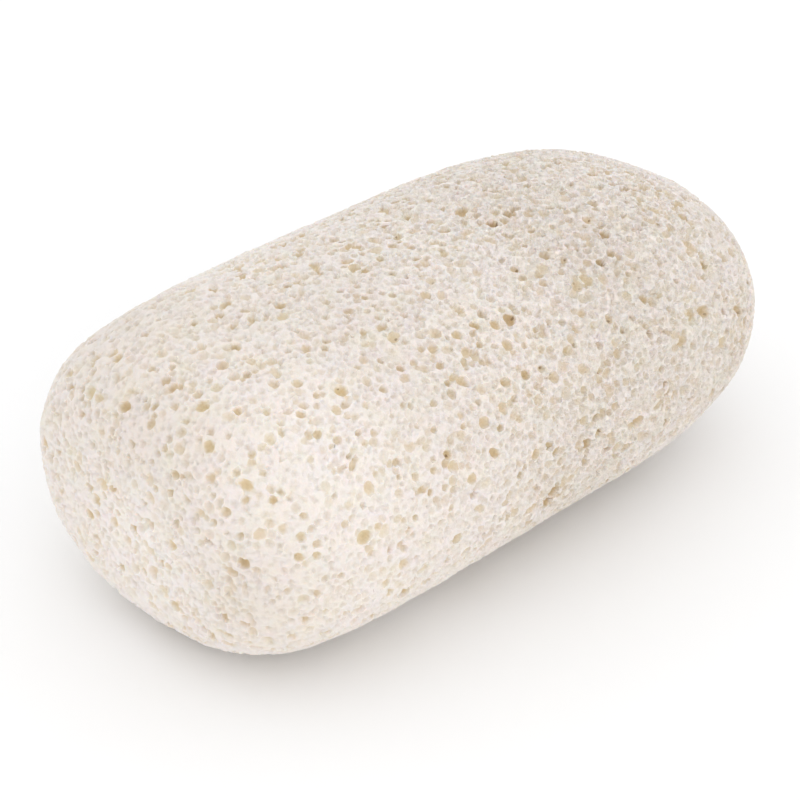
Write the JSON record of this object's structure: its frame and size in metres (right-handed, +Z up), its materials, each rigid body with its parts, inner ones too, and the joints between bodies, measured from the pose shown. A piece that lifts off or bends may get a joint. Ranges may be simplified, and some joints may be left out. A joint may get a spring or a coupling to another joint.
{
  "type": "pumice stone",
  "caption": "Tumbled block of pale pumice, a long rounded loaf with one blunt end, pitted all over by open gas bubbles, lying on its worn underside.",
  "frame": {"origin": "middle of the stone's outline seen from above, at the height of its worn flat underside", "axes": "+X along the length towards the rounder end, +Y across the stone, +Z up from the underside"},
  "size_m": [0.1, 0.0578, 0.0412],
  "materials": {
    "pumice": "matt, crumbly glass foam, not polished"
  },
  "bodies": {
    "root": {"pumice_stone": "pumice"}
  },
  "joints": []
}
